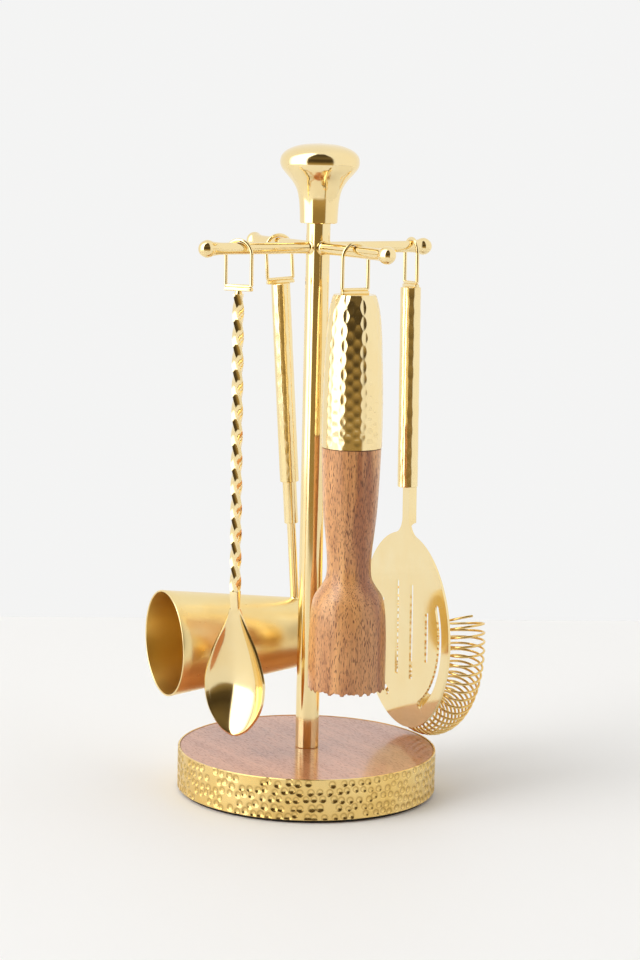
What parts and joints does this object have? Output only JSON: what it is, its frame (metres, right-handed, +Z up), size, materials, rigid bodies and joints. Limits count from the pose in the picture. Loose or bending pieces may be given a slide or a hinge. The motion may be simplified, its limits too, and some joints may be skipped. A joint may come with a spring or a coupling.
{
  "type": "bar tool set on a stand",
  "caption": "Gold bar tool set: a twisted spoon, jigger, muddler and spring strainer hang by wire bails on the arms of a knobbed stand with a hammered, wood-topped base.",
  "frame": {"origin": "centre of the underside of the base's pad, on the surface the stand rests on", "axes": "+Z up along the pole; the spoon's arm points to -X, the strainer's to +X, the muddler's to -Y and the jigger's to +Y"},
  "size_m": [0.1452, 0.1363, 0.3184],
  "materials": {
    "polished_gold": "polished pale gold plating",
    "hammered_gold": "polished gold plating over hammered dimples",
    "satin_gold": "satin gold, spun",
    "base_wood": "oiled reddish acacia, satin",
    "tool_wood": "oiled tan acacia with open pores",
    "rubber_pad": "matt black foam rubber",
    "steel_fastener": "zinc-plated steel"
  },
  "bodies": {
    "root": {"base_block": "base_wood", "base_band": "hammered_gold", "base_pad": "rubber_pad", "base_screw": "steel_fastener", "base_washer": "steel_fastener", "pole": "polished_gold", "foot_insert": "polished_gold", "cross_block": "polished_gold", "top_insert": "polished_gold", "knob_stud": "steel_fastener", "knob": "polished_gold", "arm_right": "polished_gold", "arm_back": "polished_gold", "arm_left": "polished_gold", "arm_front": "polished_gold", "finial_right": "polished_gold", "finial_back": "polished_gold", "finial_left": "polished_gold", "finial_front": "polished_gold"},
    "spoon": {"spoon_bail": "polished_gold", "spoon_stem": "polished_gold", "spoon_bowl": "polished_gold"},
    "jigger": {"jigger_bail": "polished_gold", "jigger_plug": "polished_gold", "jigger_grip": "hammered_gold", "jigger_collar": "polished_gold", "jigger_rod": "polished_gold", "jigger_cup": "satin_gold"},
    "muddler": {"muddler_bail": "polished_gold", "muddler_stud": "steel_fastener", "muddler_cap": "hammered_gold", "muddler_body": "tool_wood"},
    "strainer": {"strainer_bail": "polished_gold", "strainer_plug": "polished_gold", "strainer_grip": "hammered_gold", "strainer_plate": "polished_gold"},
    "spring": {"strainer_spring": "polished_gold"}
  },
  "joints": [
    {"name": "spoon_lift_off", "type": "slide", "parent": "root", "child": "spoon", "axis": [-0.9781, 0, 0.2079], "range_m": [0, 0.03]},
    {"name": "jigger_lift_off", "type": "slide", "parent": "root", "child": "jigger", "axis": [0, 0.9781, 0.2079], "range_m": [0, 0.032]},
    {"name": "muddler_lift_off", "type": "slide", "parent": "root", "child": "muddler", "axis": [0, -0.9781, 0.2079], "range_m": [0, 0.036]},
    {"name": "strainer_lift_off", "type": "slide", "parent": "root", "child": "strainer", "axis": [0.9397, 0, 0.342], "range_m": [0, 0.018]},
    {"name": "spring_unhook", "type": "slide", "parent": "strainer", "child": "spring", "axis": [0.9914, -0.1305, 0], "range_m": [0, 0.03]}
  ]
}
